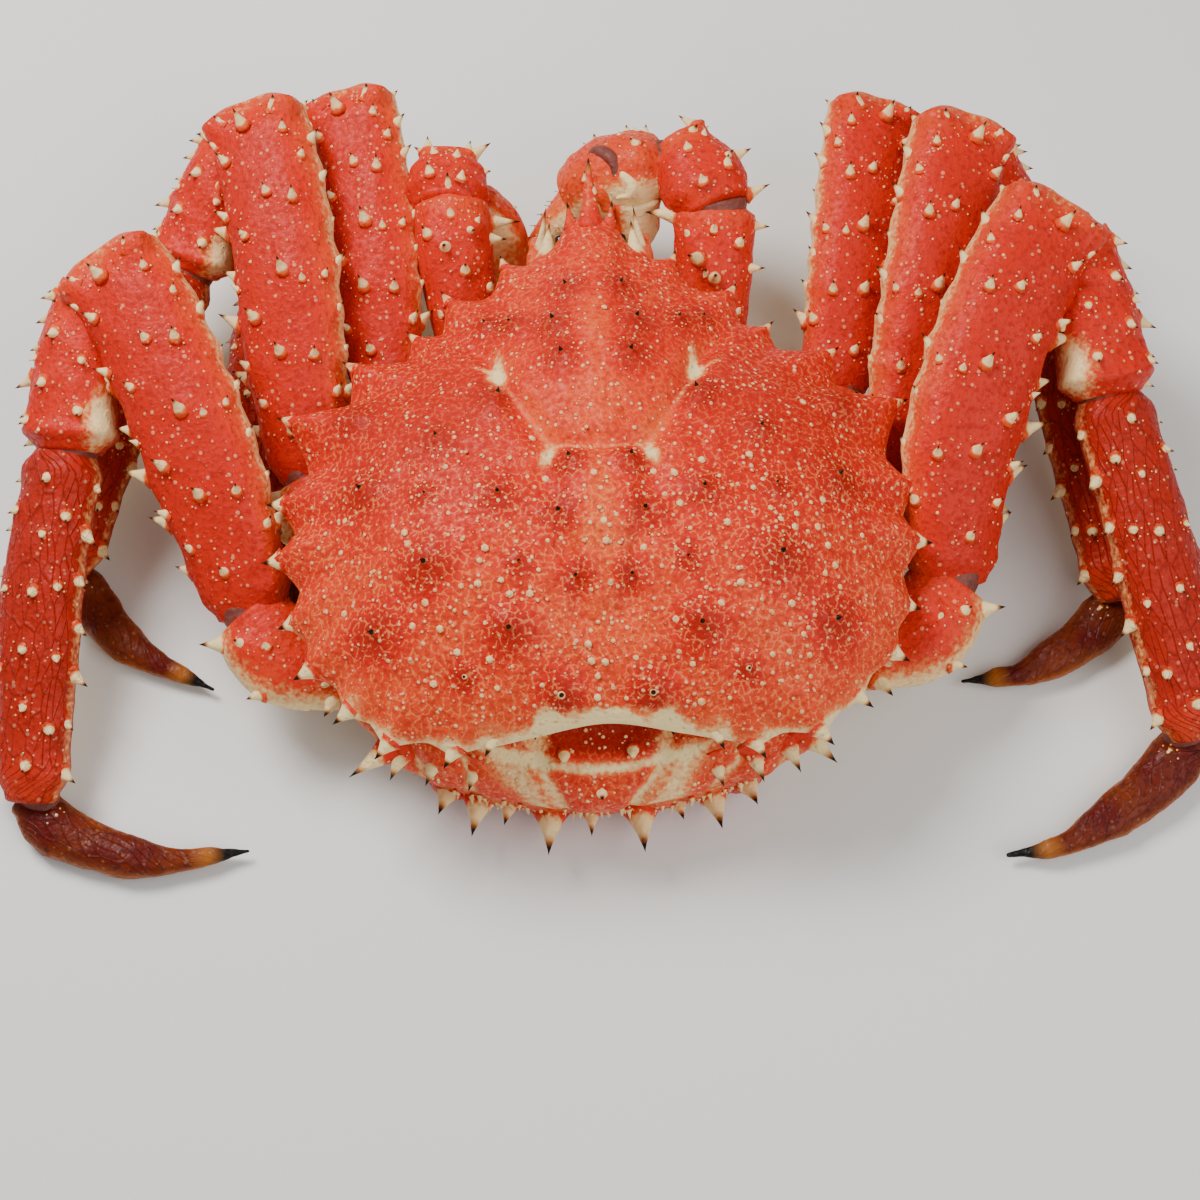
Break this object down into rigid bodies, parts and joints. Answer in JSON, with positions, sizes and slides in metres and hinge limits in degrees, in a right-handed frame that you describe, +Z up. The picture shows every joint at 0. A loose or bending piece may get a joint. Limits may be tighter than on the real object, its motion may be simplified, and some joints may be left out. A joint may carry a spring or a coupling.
{
  "type": "red king crab model",
  "caption": "Life-size still model of a cooked red king crab, resting on its belly with spiny legs and claws folded in, for a museum case or a fish counter.",
  "frame": {"origin": "middle of the flat belly, on the floor that the crab rests on", "axes": "+Z up, +Y towards the head, +X towards the crab's right side"},
  "size_m": [0.3502, 0.2297, 0.0889],
  "materials": {
    "back_shell": "granulated orange-red shell with a slight sheen",
    "leg_shell": "smooth red shell with cream spines",
    "pale_shell": "smooth cream shell",
    "claw_tip_shell": "dark red shell with amber edges",
    "eye": "glossy black"
  },
  "bodies": {
    "root": {"abdomen_flap": "pale_shell", "abdomen_plate": "back_shell", "antenna_left": "leg_shell", "antenna_right": "leg_shell", "antennule_left": "leg_shell", "antennule_right": "leg_shell", "arm_left_carpus": "leg_shell", "arm_left_finger": "pale_shell", "arm_left_ischium": "leg_shell", "arm_left_merus": "leg_shell", "arm_left_palm": "leg_shell", "arm_right_carpus": "leg_shell", "arm_right_finger": "pale_shell", "arm_right_ischium": "leg_shell", "arm_right_merus": "leg_shell", "arm_right_palm": "leg_shell", "carapace": "back_shell", "eye_left": "eye", "eye_right": "eye", "leg_front_left_carpus": "leg_shell", "leg_front_left_dactyl": "claw_tip_shell", "leg_front_left_ischium": "leg_shell", "leg_front_left_merus": "leg_shell", "leg_front_left_propodus": "leg_shell", "leg_front_right_carpus": "leg_shell", "leg_front_right_dactyl": "claw_tip_shell", "leg_front_right_ischium": "leg_shell", "leg_front_right_merus": "leg_shell", "leg_front_right_propodus": "leg_shell", "leg_mid_left_carpus": "leg_shell", "leg_mid_left_dactyl": "claw_tip_shell", "leg_mid_left_ischium": "leg_shell", "leg_mid_left_merus": "leg_shell", "leg_mid_left_propodus": "leg_shell", "leg_mid_right_carpus": "leg_shell", "leg_mid_right_dactyl": "claw_tip_shell", "leg_mid_right_ischium": "leg_shell", "leg_mid_right_merus": "leg_shell", "leg_mid_right_propodus": "leg_shell", "leg_rear_left_carpus": "leg_shell", "leg_rear_left_dactyl": "claw_tip_shell", "leg_rear_left_ischium": "leg_shell", "leg_rear_left_merus": "leg_shell", "leg_rear_left_propodus": "leg_shell", "leg_rear_right_carpus": "leg_shell", "leg_rear_right_dactyl": "claw_tip_shell", "leg_rear_right_ischium": "leg_shell", "leg_rear_right_merus": "leg_shell", "leg_rear_right_propodus": "leg_shell", "mouth_leg_left": "pale_shell", "mouth_leg_right": "pale_shell", "thorax": "pale_shell"}
  },
  "joints": []
}
